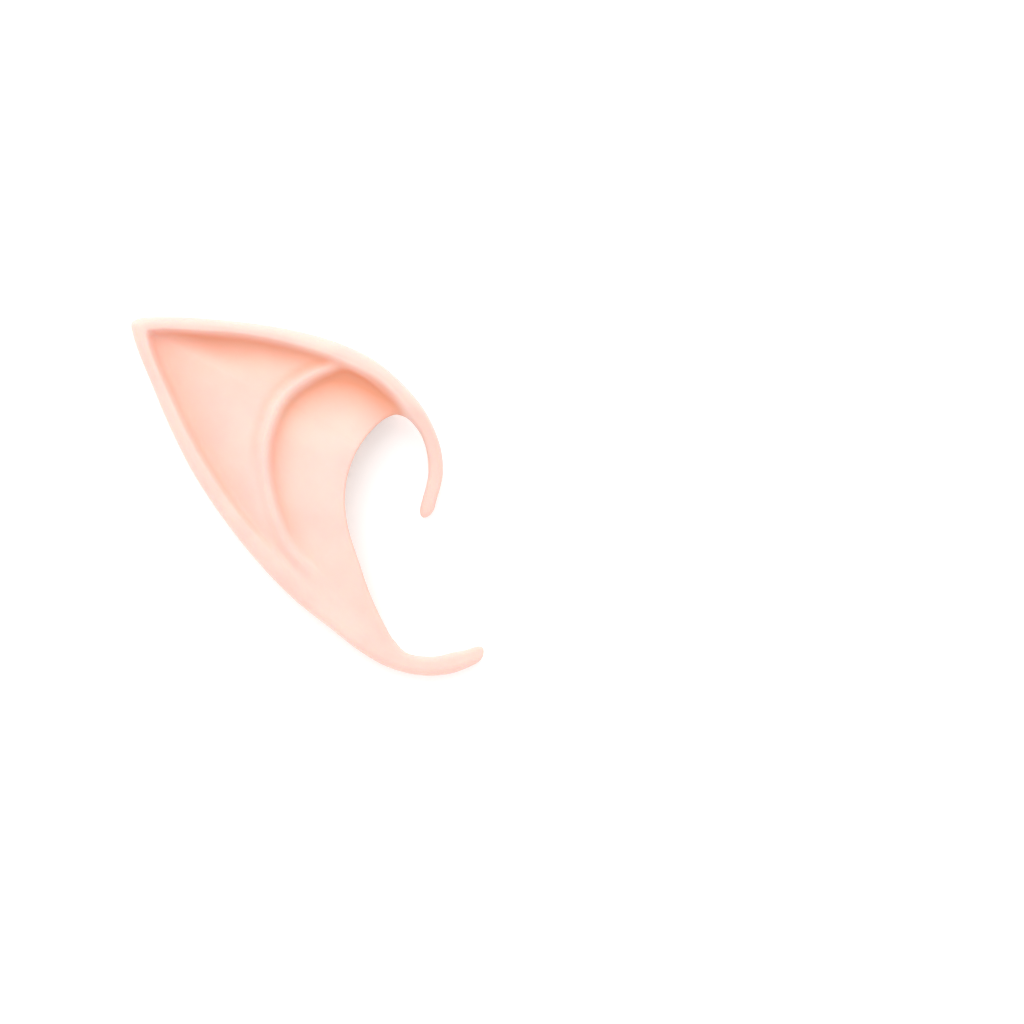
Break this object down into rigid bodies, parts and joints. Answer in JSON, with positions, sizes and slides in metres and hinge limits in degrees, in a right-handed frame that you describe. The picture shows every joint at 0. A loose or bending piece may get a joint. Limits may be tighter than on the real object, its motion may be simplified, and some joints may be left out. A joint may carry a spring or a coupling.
{
  "type": "elf ear tip",
  "caption": "Pointed latex elf ear tip: a hollow sleeve with a rolled rim and a curved ridge on its front, and a hooked arm above and below the notch that takes the wearer's ear.",
  "frame": {"origin": "middle of the bounding box at the floor; the ear lies on its plain back", "axes": "+Z out of the front, which carries the relief; +Y towards the top rim; +X from the pointed tip's side to the arms' side"},
  "size_m": [0.0808, 0.0826, 0.0137],
  "materials": {
    "latex": "flesh-coloured cast latex, satin, slightly translucent"
  },
  "bodies": {
    "root": {"ear_tip": "latex"}
  },
  "joints": []
}
